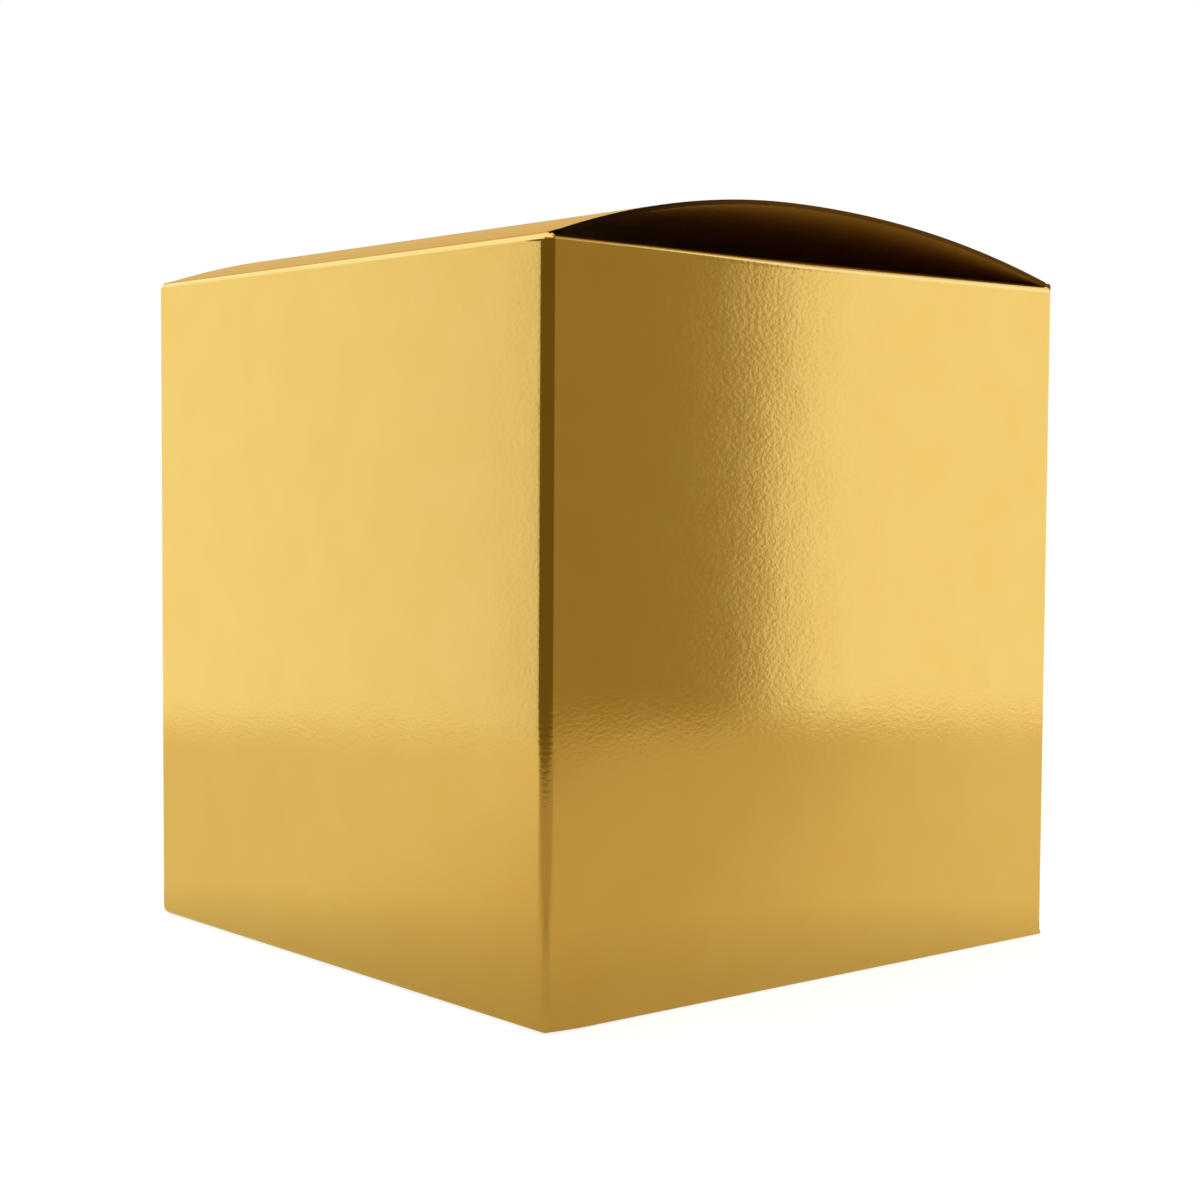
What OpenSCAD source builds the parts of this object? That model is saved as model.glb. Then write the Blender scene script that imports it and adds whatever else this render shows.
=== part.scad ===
// Tuck-top favor box: a cube carton of gold foil board, with a bowed lid.
// Millimetres. +Z is up, the table is z = 0 and the origin is under the middle of the box.
// The lid and the bottom hinge on the back wall (+Y) and tuck in behind the front wall (-Y).
// The whole box is folded from one blank: each panel and each crease is a solid of its own.

/* [Carton] */
// Outer width, from the left wall to the right wall
box_w = 76; // [60:1:100]
// Outer depth, from the front wall to the back wall
box_d = 76; // [60:1:100]
// Height of the lid's hinge crease above the table
box_h = 77.3; // [60:0.1:110]

/* [Board] */
// Thickness of the foil-faced board
board_t = 0.5; // [0.35:0.05:0.7]
// Outer radius of a fold
fold_r = 1; // [0.8:0.05:1.3]

/* [Lid and bottom] */
// Height of the lid's bow above its two creases
lid_rise = 5.4; // [3:0.1:8]
// Where the bow is highest, as a share of the way from its hinge to its tuck crease
lid_crown_share = 0.44; // [0.4:0.01:0.6]
// How far a side edge of the lid or the bottom stays inside the walls' outer face
panel_inset = 0.4; // [0.2:0.1:0.8]
// Length of a tuck flap, from its crease to its tip
tuck_len = 18; // [12:1:24]
// How far a tuck flap leans in from upright, in degrees
tuck_lean = 15; // [12:1:20]
// Width that a tuck flap loses on each side, from its shoulder to its tip
tuck_taper = 1.2; // [0:0.1:3]
// Radius of a tuck flap's corners
tuck_corner_r = 8; // [4:0.5:10]
// Length of the slit at each end of a tuck crease
slit_len = 9; // [6:0.5:12]
// How far the slit's lower edge falls away by its open end
slit_fall = 1.2; // [0.4:0.1:2]

/* [Dust flaps] */
// Gap between the tips of the left and the right dust flap
flap_tip_gap = 10; // [6:1:20]
// Width that a dust flap loses on the hinge side, as a share of its length
flap_taper_share = 0.62; // [0.6:0.01:0.7]
// Radius of a dust flap's corners
flap_corner_r = 5; // [3:0.5:7]
// Length of the shoulder that fits into the tuck flap's slit
shoulder_len = 9; // [6:0.5:12]
// Depth of the step at the end of the shoulder
shoulder_step = 3; // [2:0.5:4]

/* [Glue seam] */
// Width of the glue tab, from its crease to its cut edge
tab_w = 14; // [10:0.5:18]
// Height that each end of the glue tab loses towards its cut edge
tab_bevel = 4; // [2:0.5:6]
// How far each end of the glue tab stays from the top or the bottom of the box
tab_setback = 4; // [3.5:0.5:6]
// Width of the line of glue
glue_w = 8; // [5:0.5:10]
// Thickness of the line of glue
glue_t = 0.1; // [0.05:0.05:0.2]

/* [Clearances] */
// Gap between a turning panel and the bead of its crease
crease_gap = 0.1; // [0.05:0.01:0.2]
// Gap between two layers of board that lie on each other
layer_gap = 0.05; // [0.05:0.01:0.2]
// Gap between the front wall and the tuck creases behind it
tuck_gap = 0.3; // [0.2:0.05:0.5]
// Gap between a tuck flap and the side walls' creases
tuck_side_gap = 0.3; // [0.2:0.05:0.6]
// Gap between a dust flap's front edge and the bead of the tuck crease
flap_front_gap = 1.2; // [1:0.1:2]
// How far the beads of the side walls' creases stop short of the corner columns
bead_end_gap = 1.2; // [1:0.1:2]
// How far the front wall's cut edges stay back from the top and the bottom
cut_edge_back = 0.2; // [0.1:0.1:0.5]
// Gap between the right wall's free edge and the front wall's outer face
seam_edge_back = 0.15; // [0.1:0.05:0.3]
// How far each end of the line of glue stays from the glue tab's ends
glue_end_back = 5; // [4:0.5:7]

/* [Hidden] */

$fn = 64;
// The bow's arcs are long and thin, so they take more sides
bow_fn = 720;
// Points along each rounded corner of a flap
corner_steps = 10;
// A wall ends this share of the fold radius short of the axis of its crease,
// so the bead shows as a round edge and the wall still seats on it
wall_end_share = 0.45;

foil_light = "#e6c068";
foil_mid = "#d9af55";
foil_dark = "#b98f3c";
glue_white = "#efe9da";

// Axes of the creases. A crease is a bead whose centre is the axis it folds about.
hinge_x = box_w / 2 - fold_r;
hinge_y = box_d / 2 - fold_r;
tuck_y = -box_d / 2 + board_t + tuck_gap + fold_r;
lid_axis_z = box_h - fold_r;
// The dust flaps fold one board lower, so that the lid lies over them
flap_axis_z = lid_axis_z - board_t - layer_gap;
wall_end_gap = wall_end_share * fold_r;

// A turning panel starts this far from the axis of its crease
panel_start = fold_r + crease_gap;
panel_w = box_w - 2 * panel_inset;
tuck_half_w = hinge_x - fold_r - tuck_side_gap;
tuck_crease_len = panel_w - 2 * slit_len;
lip_end_y = tuck_y - fold_r + tuck_gap;
flap_len = hinge_x - flap_tip_gap / 2;
flap_front_y = tuck_y + fold_r + flap_front_gap;
flap_back_y = hinge_y - bead_end_gap;
side_bead_len = 2 * (hinge_y - bead_end_gap);

// The front wall's right end folds inside the right wall, where its tab is glued
tab_face_x = box_w / 2 - board_t - glue_t;
tab_axis_x = tab_face_x - fold_r;
tab_bottom_z = tab_setback;
tab_top_z = box_h - tab_setback;

crown_y = hinge_y - lid_crown_share * (hinge_y - tuck_y);
crown_z = box_h + lid_rise;

// Radius of an arc that falls by the lid's rise over a span, starting level at the crown
function bow_r(span) = (span * span + lid_rise * lid_rise) / (2 * lid_rise);

// Points that round corner b, which lies between a and c, with radius r
function rounded(a, b, c, r) =
    r == 0 ? [b] :
    let (u = (a - b) / norm(a - b),
         v = (c - b) / norm(c - b),
         half = acos(u * v) / 2,
         middle = b + (u + v) / norm(u + v) * r / sin(half),
         from = b + u * r / tan(half) - middle,
         to = b + v * r / tan(half) - middle,
         start = atan2(from[1], from[0]),
         turn = atan2(from[0] * to[1] - from[1] * to[0], from * to))
    [for (i = [0 : corner_steps])
        middle + r * [cos(start + turn * i / corner_steps), sin(start + turn * i / corner_steps)]];

// An outline whose corners have the radii listed with them
function outline(points, radii) =
    let (n = len(points))
    [for (i = [0 : n - 1])
        each rounded(points[(i + n - 1) % n], points[i], points[(i + 1) % n], radii[i])];

// Stands a profile drawn in (y, z) up and runs it along X, centred
module along_x(length) {
    rotate([90, 0, 90]) linear_extrude(height = length, center = true) children();
}

// Turns something made for the top of the box over to the bottom
module at_bottom() {
    translate([0, 0, box_h]) mirror([0, 0, 1]) children();
}

module bead_x(length, y, z) {
    translate([0, y, z]) rotate([0, 90, 0]) cylinder(h = length, r = fold_r, center = true);
}

module bead_y(length, x, z) {
    translate([x, 0, z]) rotate([90, 0, 0]) cylinder(h = length, r = fold_r, center = true);
}

// The crease at the top of the back wall
module hinge_bead() {
    bead_x(2 * hinge_x, hinge_y, lid_axis_z);
}

// The crease at the top of the right wall
module side_bead() {
    bead_y(side_bead_len, hinge_x, flap_axis_z);
}

// Quarter of a tube where two walls meet, drawn for the corner at +X and +Y
module corner_column(x, y, turn) {
    translate([x, y, fold_r]) rotate([0, 0, turn]) linear_extrude(height = lid_axis_z - fold_r)
        intersection() {
            difference() {
                circle(r = fold_r);
                circle(r = fold_r - board_t);
            }
            square(fold_r);
        }
}

// A wall between the creases at its top and its bottom, standing on +X
module side_wall(front_y) {
    wall_end = flap_axis_z - wall_end_gap;
    difference() {
        translate([box_w / 2 - board_t, front_y, box_h - wall_end])
            cube([board_t, hinge_y - front_y, 2 * wall_end - box_h]);
        side_bead();
        at_bottom() side_bead();
    }
}

// One side of the bow in (y, z), from the crown down to end_y
module bow_side(span, end_y) {
    r = bow_r(span);
    low_z = box_h - fold_r;
    intersection() {
        translate([crown_y, crown_z - r]) difference() {
            circle(r = r, $fn = bow_fn);
            circle(r = r - board_t, $fn = bow_fn);
        }
        translate([min(crown_y, end_y), low_z]) square([abs(end_y - crown_y), crown_z - low_z + fold_r]);
    }
}

module bow(end_y) {
    bow_side(hinge_y - crown_y, hinge_y - panel_start);
    bow_side(crown_y - tuck_y, end_y);
}

module flat_panel(end_y) {
    translate([end_y, box_h - board_t]) square([hinge_y - panel_start - end_y, board_t]);
}

// A closing panel: the first profile reaches the tuck crease,
// and the second goes past it where the slits are, at both ends
module closing_panel() {
    difference() {
        union() {
            along_x(panel_w) children(0);
            for (side = [-1, 1])
                translate([side * (panel_w - slit_len) / 2, 0, 0]) along_x(slit_len) children(1);
        }
        tuck_bead();
    }
}

module tuck_bead() {
    bead_x(tuck_crease_len, tuck_y, lid_axis_z);
}

module tuck_flap() {
    shoulder = panel_start + slit_fall;
    crease_half = tuck_crease_len / 2;
    tip_half = tuck_half_w - tuck_taper;
    shape = outline(
        [[-crease_half, panel_start], [-tuck_half_w, shoulder], [-tip_half, tuck_len],
         [tip_half, tuck_len], [tuck_half_w, shoulder], [crease_half, panel_start]],
        [0, 0, tuck_corner_r, tuck_corner_r, 0, 0]);
    translate([0, tuck_y, lid_axis_z]) rotate([tuck_lean, 0, 0]) translate([0, -fold_r, 0])
        rotate([-90, 0, 0]) linear_extrude(height = board_t) polygon(shape);
}

// The dust flap of the right wall, folded in level
module dust_flap() {
    inner_front_y = flap_front_y + shoulder_step;
    back_tip_y = flap_back_y - flap_taper_share * (flap_len - panel_start);
    shape = outline(
        [[panel_start, flap_front_y], [shoulder_len, flap_front_y],
         [shoulder_len + shoulder_step, inner_front_y], [flap_len, inner_front_y],
         [flap_len, back_tip_y], [panel_start, flap_back_y]],
        [0, 0, 0, flap_corner_r, flap_corner_r, 0]);
    translate([hinge_x, 0, flap_axis_z + fold_r - board_t]) mirror([1, 0, 0])
        linear_extrude(height = board_t) polygon(shape);
}

module front_wall() {
    color(foil_mid) translate([-hinge_x, -box_d / 2, cut_edge_back])
        cube([hinge_x + tab_axis_x, board_t, box_h - 2 * cut_edge_back]);
}

module back_wall() {
    wall_end = lid_axis_z - wall_end_gap;
    color(foil_light) difference() {
        translate([-hinge_x, box_d / 2 - board_t, box_h - wall_end])
            cube([2 * hinge_x, board_t, 2 * wall_end - box_h]);
        hinge_bead();
        at_bottom() hinge_bead();
    }
}

module left_wall() {
    color(foil_mid) mirror([1, 0, 0]) side_wall(-hinge_y);
}

module right_wall() {
    color(foil_mid) side_wall(-box_d / 2 + seam_edge_back);
}

module glue_tab() {
    shape = [[-hinge_y, tab_bottom_z], [tab_w - hinge_y, tab_bottom_z + tab_bevel],
             [tab_w - hinge_y, tab_top_z - tab_bevel], [-hinge_y, tab_top_z]];
    color(foil_dark) translate([tab_face_x - board_t / 2, 0, 0]) along_x(board_t) polygon(shape);
}

module seam_glue() {
    glue_low_z = tab_bottom_z + glue_end_back;
    color(glue_white) translate([tab_face_x, -hinge_y + (tab_w - glue_w) / 2, glue_low_z])
        cube([glue_t, glue_w, box_h - 2 * glue_low_z]);
}

module back_left_crease() { color(foil_dark) corner_column(-hinge_x, hinge_y, 90); }
module back_right_crease() { color(foil_dark) corner_column(hinge_x, hinge_y, 0); }
module front_left_crease() { color(foil_dark) corner_column(-hinge_x, -hinge_y, 180); }
module glue_tab_crease() { color(foil_dark) corner_column(tab_axis_x, -hinge_y, 270); }

module lid_hinge_crease() { color(foil_light) hinge_bead(); }

module lid_panel() {
    color(foil_mid) closing_panel() {
        bow(tuck_y + wall_end_gap);
        bow(lip_end_y);
    }
}

module lid_tuck_crease() { color(foil_mid) tuck_bead(); }
module lid_tuck_flap() { color(foil_mid) tuck_flap(); }

module top_right_crease() { color(foil_light) side_bead(); }
module top_right_dust_flap() { color(foil_mid) dust_flap(); }
module top_left_crease() { color(foil_light) mirror([1, 0, 0]) side_bead(); }
module top_left_dust_flap() { color(foil_mid) mirror([1, 0, 0]) dust_flap(); }

module bottom_hinge_crease() { color(foil_light) at_bottom() hinge_bead(); }

module bottom_panel() {
    color(foil_mid) at_bottom() closing_panel() {
        flat_panel(tuck_y + wall_end_gap);
        flat_panel(lip_end_y);
    }
}

module bottom_tuck_crease() { color(foil_mid) at_bottom() tuck_bead(); }
module bottom_tuck_flap() { color(foil_mid) at_bottom() tuck_flap(); }

module bottom_right_crease() { color(foil_light) at_bottom() side_bead(); }
module bottom_right_dust_flap() { color(foil_mid) at_bottom() dust_flap(); }
module bottom_left_crease() { color(foil_light) at_bottom() mirror([1, 0, 0]) side_bead(); }
module bottom_left_dust_flap() { color(foil_mid) at_bottom() mirror([1, 0, 0]) dust_flap(); }

front_wall();
back_wall();
left_wall();
right_wall();
glue_tab();
seam_glue();
back_left_crease();
back_right_crease();
front_left_crease();
glue_tab_crease();
lid_hinge_crease();
lid_panel();
lid_tuck_crease();
lid_tuck_flap();
top_left_crease();
top_left_dust_flap();
top_right_crease();
top_right_dust_flap();
bottom_hinge_crease();
bottom_panel();
bottom_tuck_crease();
bottom_tuck_flap();
bottom_left_crease();
bottom_left_dust_flap();
bottom_right_crease();
bottom_right_dust_flap();
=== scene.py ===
# %% [markdown]
# # A gold favor box, dressed sheet by sheet
# The real object is one die-cut sheet of foil-faced board, creased and folded into a cube, with a
# lid that is bowed up because its front edge is pushed in behind the front wall.
# The imported CAD model gives every panel and crease its place, and its moving bodies. Here each
# panel is made again as a thin sheet with three finishes: foil outside, kraft reverse inside and
# bare board where the die cut it. Creases that turn are covered by a thin strip.

# %% Load the imported model
import math

import bmesh
import bpy
import numpy as np
from mathutils import Matrix, Vector


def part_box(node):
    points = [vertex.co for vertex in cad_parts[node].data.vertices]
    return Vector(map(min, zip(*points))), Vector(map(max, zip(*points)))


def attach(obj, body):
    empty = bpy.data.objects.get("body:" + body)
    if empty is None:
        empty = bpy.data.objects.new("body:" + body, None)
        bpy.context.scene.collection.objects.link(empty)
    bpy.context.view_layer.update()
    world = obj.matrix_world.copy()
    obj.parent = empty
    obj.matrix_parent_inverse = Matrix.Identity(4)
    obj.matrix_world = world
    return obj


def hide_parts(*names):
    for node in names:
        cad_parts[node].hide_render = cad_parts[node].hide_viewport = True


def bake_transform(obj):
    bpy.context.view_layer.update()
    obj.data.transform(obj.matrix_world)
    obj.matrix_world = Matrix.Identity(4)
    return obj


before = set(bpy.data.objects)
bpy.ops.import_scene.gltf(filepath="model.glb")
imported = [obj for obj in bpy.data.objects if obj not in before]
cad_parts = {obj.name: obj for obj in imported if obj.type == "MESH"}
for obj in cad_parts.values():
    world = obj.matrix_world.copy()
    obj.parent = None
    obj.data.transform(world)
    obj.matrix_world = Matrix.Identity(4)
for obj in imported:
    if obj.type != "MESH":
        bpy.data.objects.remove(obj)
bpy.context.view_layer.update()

# %% [markdown]
# ## Sizes
# Everything below is written in millimetres, as on the carton maker's drawing, and turned to metres
# only when a mesh is made. The places of the creases are read from the CAD nodes.

# %% Sizes of the carton, from its nodes
MM = 0.001


def node_box(node):
    low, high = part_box(node)
    return np.array(low) / MM, np.array(high) / MM


hinge_low, hinge_high = node_box("lid_hinge_crease")
tuck_low, tuck_high = node_box("lid_tuck_crease")
side_high = node_box("top_right_crease")[1]
lid_low, lid_high = node_box("lid_panel")
back_low, back_high = node_box("back_wall")

FOLD_R = (hinge_high[2] - hinge_low[2]) / 2
BOX_H = hinge_high[2]
HALF = hinge_high[1]
AXIS = HALF - FOLD_R
BOARD = back_high[1] - back_low[1]
HINGE_Z = BOX_H - FOLD_R
SIDE_Z = side_high[2] - FOLD_R
TUCK_Y = (tuck_low[1] + tuck_high[1]) / 2
TUCK_HALF = tuck_high[0]
LID_HALF = lid_high[0]
print(f"fold radius {FOLD_R:.2f}, board {BOARD:.2f}, height {BOX_H:.2f} mm")
print(f"tuck crease at y {TUCK_Y:.2f} mm")

# %% [markdown]
# ## Camera
# The photo was taken from a little below the lid, so the camera sees under the bow. Its place and
# lens were worked out from the box's edges and corners; the sensor is 36 mm wide.

# %% Camera
SENSOR, LENS = 36, 64.42
CAMERA_AT = Vector((-198.06, 165.62, 53.51)) * MM
LOOKS_ALONG = Vector((0.764736, -0.641992, -0.055011))
TILT_DEGREES = 0.358

camera = bpy.data.objects.new("camera", bpy.data.cameras.new("camera"))
bpy.context.collection.objects.link(camera)
camera.data.sensor_fit = "HORIZONTAL"
camera.data.sensor_width = SENSOR
camera.data.lens = LENS
camera.data.clip_start = 10 * MM
forward = LOOKS_ALONG.normalized()
level = forward.cross(Vector((0, 0, 1))).normalized()
over = level.cross(forward)
tilt = math.radians(TILT_DEGREES)
right = level * math.cos(tilt) + over * math.sin(tilt)
up = over * math.cos(tilt) - level * math.sin(tilt)
turn = Matrix((right, up, -forward)).transposed().to_4x4()
camera.matrix_world = Matrix.Translation(CAMERA_AT) @ turn
bpy.context.scene.camera = camera
bpy.context.scene.view_settings.view_transform = "Standard"
print("camera at", [round(v / MM, 1) for v in camera.location])

# %% [markdown]
# ## Helpers for materials
# Colours are written as the hex values that one would read off a screen, and Cycles wants them
# linear, so one function turns them over. Another adds a node with its settings and its links.


# %% Colour and node helpers
def linear(hex_colour):
    channels = [int(hex_colour[i:i + 2], 16) / 255 for i in (1, 3, 5)]
    return [c / 12.92 if c <= 0.04045 else ((c + 0.055) / 1.055) ** 2.4 for c in channels] + [1]


def add_node(tree, kind, inputs=(), **settings):
    """inputs maps a socket's name or number to its value, or to the socket that feeds it."""
    node = tree.nodes.new(kind)
    for name, value in settings.items():
        if hasattr(node, name):
            setattr(node, name, value)
        else:
            node.inputs[name.replace("_", " ")].default_value = value
    for socket, source in dict(inputs).items():
        if isinstance(source, bpy.types.NodeSocket):
            tree.links.new(source, node.inputs[socket])
        else:
            node.inputs[socket].default_value = source
    return node


def new_material(name):
    material = bpy.data.materials.new(name)
    material.use_nodes = True
    tree = material.node_tree
    tree.nodes.clear()
    shader = add_node(tree, "ShaderNodeBsdfPrincipled")
    add_node(tree, "ShaderNodeOutputMaterial", {"Surface": shader.outputs[0]})
    place = add_node(tree, "ShaderNodeTexCoord").outputs["Object"]
    return material, tree, shader, place


# %% [markdown]
# ## Gold foil
# The outside is a metallised film laminated to the board: a few hundredths of a micrometre of
# vacuum-coated aluminium under a gold-tinted lacquer. It is nearly a mirror, so the faces take
# their light and dark from the room. What makes it paper and not metal sheet is the orange peel:
# the board's fibres push up through the film in bumps less than a millimetre apart and a few
# micrometres high. They show only where a bright reflection ends. The fibres lie round the box, so
# the bumps are longer that way than they are high.

# %% Gold foil material
GRAIN, GRAIN_FLAT, GRAIN_HEIGHT = 0.62 * MM, 1.6, 0.0052 * MM
MOTTLE, MOTTLE_HEIGHT = 6 * MM, 0.009 * MM
SMOOTHEST, DULLEST = 0.07, 0.11


def foil_laminate():
    material, tree, shader, place = new_material("gold_foil_laminate")
    mottle = add_node(tree, "ShaderNodeTexNoise", {"Vector": place}, Scale=1 / MOTTLE, Detail=1)
    pressed = add_node(tree, "ShaderNodeMapping", {"Vector": place, "Scale": (1, 1, GRAIN_FLAT)})
    grain = add_node(tree, "ShaderNodeTexNoise", {"Vector": pressed.outputs[0]},
                     Scale=1 / GRAIN, Detail=1.5)
    tint = add_node(tree, "ShaderNodeMix", {"Factor": mottle.outputs["Fac"],
                    "A": linear("#f2c96c"), "B": linear("#f5d077")}, data_type="RGBA")
    dull = add_node(tree, "ShaderNodeMapRange", {"Value": grain.outputs["Fac"],
                    "To Min": SMOOTHEST, "To Max": DULLEST})
    wave = add_node(tree, "ShaderNodeBump", {"Height": mottle.outputs["Fac"]},
                    Distance=MOTTLE_HEIGHT)
    peel = add_node(tree, "ShaderNodeBump", {"Height": grain.outputs["Fac"],
                    "Normal": wave.outputs[0]}, Distance=GRAIN_HEIGHT)
    tree.links.new(tint.outputs["Result"], shader.inputs["Base Color"])
    tree.links.new(dull.outputs[0], shader.inputs["Roughness"])
    tree.links.new(peel.outputs[0], shader.inputs["Normal"])
    shader.inputs["Metallic"].default_value = 1
    shader.inputs["Specular Tint"].default_value = linear("#ffffe1")
    return material


foil = foil_laminate()
print("outside:", foil.name)

# %% [markdown]
# ## Kraft reverse
# Under the bowed lid the photo shows a warm brown that fades to nearly black further in, not white
# board and not a mirror. So the back of the sheet is left as unbleached kraft liner: dull, with
# short fibres that all run roughly one way and cloudy patches where the pulp settled thicker.

# %% Kraft reverse material
FORMATION = 3.5 * MM
FIBRE, FIBRE_RUN, FIBRE_SHARE = 0.35 * MM, 6, 0.4
TOOTH = 0.02 * MM


def kraft_liner():
    material, tree, shader, place = new_material("kraft_liner_reverse")
    drawn = add_node(tree, "ShaderNodeMapping", {"Vector": place, "Scale": (1, 1 / FIBRE_RUN, 1)})
    cloud = add_node(tree, "ShaderNodeTexNoise", {"Vector": place}, Scale=1 / FORMATION, Detail=3)
    fibre = add_node(tree, "ShaderNodeTexNoise", {"Vector": drawn.outputs[0]},
                     Scale=1 / FIBRE, Detail=2)
    both = add_node(tree, "ShaderNodeMix", {"Factor": FIBRE_SHARE, "A": cloud.outputs["Fac"],
                    "B": fibre.outputs["Fac"]})
    tint = add_node(tree, "ShaderNodeMix", {"Factor": both.outputs["Result"],
                    "A": linear("#a87a1d"), "B": linear("#c89a39")}, data_type="RGBA")
    tooth = add_node(tree, "ShaderNodeBump", {"Height": fibre.outputs["Fac"]}, Distance=TOOTH)
    tree.links.new(tint.outputs["Result"], shader.inputs["Base Color"])
    tree.links.new(tooth.outputs[0], shader.inputs["Normal"])
    shader.inputs["Roughness"].default_value = 0.72
    return material


reverse = kraft_liner()
print("inside:", reverse.name)

# %% [markdown]
# ## Cut edges
# The die leaves the core of the board bare: unbleached kraft pulp, pressed in layers. It is brown,
# fully matt and finely streaked along the sheet. The lid's cut edge is darker the nearer it comes
# to the hinge in the photo, so the lid has a core of its own with painted shade: its tone falls off
# that way, to a dark brown.

# %% Cut edge materials
PLY = 0.12 * MM
PAINTED_SHADE_FROM, PAINTED_SHADE_TO = 5 * MM, 29 * MM


def kraft_core(name, painted_shade=False):
    """Painted shade: with the flag set, the tone falls off along Y towards the hinge, between two
    marks.
    """
    material, tree, shader, place = new_material(name)
    pulp = add_node(tree, "ShaderNodeTexNoise", {"Vector": place}, Scale=1 / PLY, Detail=3)
    tint = add_node(tree, "ShaderNodeMix", {"Factor": pulp.outputs["Fac"],
                    "A": linear("#6c4808"), "B": linear("#885c0c")}, data_type="RGBA")
    rough = add_node(tree, "ShaderNodeBump", {"Height": pulp.outputs["Fac"]}, Distance=TOOTH)
    colour = tint.outputs["Result"]
    # Painted shade: towards the hinge the cut edge's tone is mixed into a dark brown.
    if painted_shade:
        parts = add_node(tree, "ShaderNodeSeparateXYZ", {"Vector": place}).outputs
        share = add_node(tree, "ShaderNodeMapRange", {"Value": parts["Y"],
                         "From Min": PAINTED_SHADE_FROM, "From Max": PAINTED_SHADE_TO})
        painted_shaded = add_node(tree, "ShaderNodeMix", {"Factor": share.outputs[0],
                         "A": colour, "B": linear("#2a1405")}, data_type="RGBA")
        colour = painted_shaded.outputs["Result"]
        shader.inputs["Specular IOR Level"].default_value = 0.1
    tree.links.new(colour, shader.inputs["Base Color"])
    tree.links.new(rough.outputs[0], shader.inputs["Normal"])
    shader.inputs["Roughness"].default_value = 0.85
    return material


core = kraft_core("kraft_board_core")
# The lid's cut edges get the core with painted shade.
lid_core_painted_shade = kraft_core("kraft_lid_core_painted_shade", painted_shade=True)
print("cut edges:", core.name, "and", lid_core_painted_shade.name)

# %% [markdown]
# ## Glue
# Carton seams are closed with PVA glue, which dries to a pale, slightly yellow film. Its beads
# flatten between the two boards and leave a soft, wavy gloss.

# %% Glue material
RIPPLE_HEIGHT = 0.05 * MM


def dried_pva():
    material, tree, shader, place = new_material("dried_pva_glue")
    ripple = add_node(tree, "ShaderNodeTexNoise", {"Vector": place}, Scale=1 / FORMATION, Detail=2)
    tint = add_node(tree, "ShaderNodeMix", {"Factor": ripple.outputs["Fac"],
                    "A": linear("#e9dfc4"), "B": linear("#f3ecd9")}, data_type="RGBA")
    soft = add_node(tree, "ShaderNodeBump", {"Height": ripple.outputs["Fac"]},
                    Distance=RIPPLE_HEIGHT)
    tree.links.new(tint.outputs["Result"], shader.inputs["Base Color"])
    tree.links.new(soft.outputs[0], shader.inputs["Normal"])
    shader.inputs["Roughness"].default_value = 0.4
    shader.inputs["IOR"].default_value = 1.46
    return material


pva = dried_pva()
print("seam:", pva.name)

# %% [markdown]
# ## A sheet from two grids of points
# Every panel is a thin sheet, so one helper makes them all: it takes the points of the outer face
# and the points of the inner face as two grids of the same size, joins each with quads and closes
# the rim wherever the sheet ends. The outer face gets the foil, the inner face the reverse and the
# rim the core. Edges sharper than 30 degrees stay sharp, and gentle folds shade smoothly.

# %% Sheet helper
FINISHES = [foil, reverse, core]
SHARP = math.radians(30)
WELD = 0.002 * MM
made = []


def settle(mesh_data, name, body, nodes):
    bmesh.ops.remove_doubles(mesh_data, verts=mesh_data.verts, dist=WELD)
    bmesh.ops.recalc_face_normals(mesh_data, faces=mesh_data.faces)
    for face in mesh_data.faces:
        face.smooth = True
    for edge in mesh_data.edges:
        edge.smooth = edge.is_manifold and edge.calc_face_angle(0) < SHARP
    mesh = bpy.data.meshes.new(name)
    mesh_data.to_mesh(mesh)
    mesh_data.free()
    for material in FINISHES:
        mesh.materials.append(material)
    piece = bpy.data.objects.new(name, mesh)
    bpy.context.collection.objects.link(piece)
    if body:
        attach(piece, body)
    if nodes:
        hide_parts(*nodes)
    made.append(name)
    return piece


def sheet(name, outer, inner, body, nodes=(), keep=None):
    """outer and inner are arrays of rows x columns x 3; keep says which of their cells exist."""
    rows, columns = outer.shape[:2]
    keep = np.ones((rows - 1, columns - 1), bool) if keep is None else keep
    bm = bmesh.new()
    corners = [{}, {}]

    def corner(layer, r, c):
        if (r, c) not in corners[layer]:
            corners[layer][r, c] = bm.verts.new((outer, inner)[layer][r, c] * MM)
        return corners[layer][r, c]

    def has(r, c):
        return 0 <= r < rows - 1 and 0 <= c < columns - 1 and keep[r, c]

    for r in range(rows - 1):
        for c in range(columns - 1):
            if not keep[r, c]:
                continue
            ring = [(r, c), (r, c + 1), (r + 1, c + 1), (r + 1, c)]
            for layer in (0, 1):
                bm.faces.new([corner(layer, *p) for p in ring]).material_index = layer
            neighbours = [(r - 1, c), (r, c + 1), (r + 1, c), (r, c - 1)]
            for i, beside in enumerate(neighbours):
                if not has(*beside):
                    a, b = ring[i], ring[(i + 1) % 4]
                    rim = [corner(0, *a), corner(0, *b), corner(1, *b), corner(1, *a)]
                    bm.faces.new(rim).material_index = 2
    return settle(bm, name, body, nodes)


# %% Even steps
def steps(low, high, count):
    return np.linspace(low, high, count + 1)


def fine_ends(low, high, count, end=0.25):
    """Even steps, with one short step at each end to hold the shading flat there."""
    inside = steps(low + end, high - end, count)
    return np.concatenate([[low], inside, [high]])


# %% [markdown]
# ## The four walls
# A wall is flat to within a few hundredths of a millimetre, but a mirror shows even that: its edges
# are held by the creases and its middle stands out a little. The top and bottom of each wall are
# not cut: the sheet goes on round the crease, so the wall's outer face runs up to where the fold
# begins, and its end is hollowed to fit the roll of the crease. Beside the upright folds the press
# leaves the face a few micrometres lower, which draws the fold's edges.

# %% Wall helpers
BULGE, WAVE = 0.06, 0.006
FEATHER = 0.02
TURN_IN, TURN_WIDE = 0.005, 0.16
HOLLOW_END, HOLLOW_ROWS = math.radians(60), 8
BESIDE_FOLD = np.array([0, 0.04, 0.09, 0.15, 0.23, 0.34, 0.5, 0.75])


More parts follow.
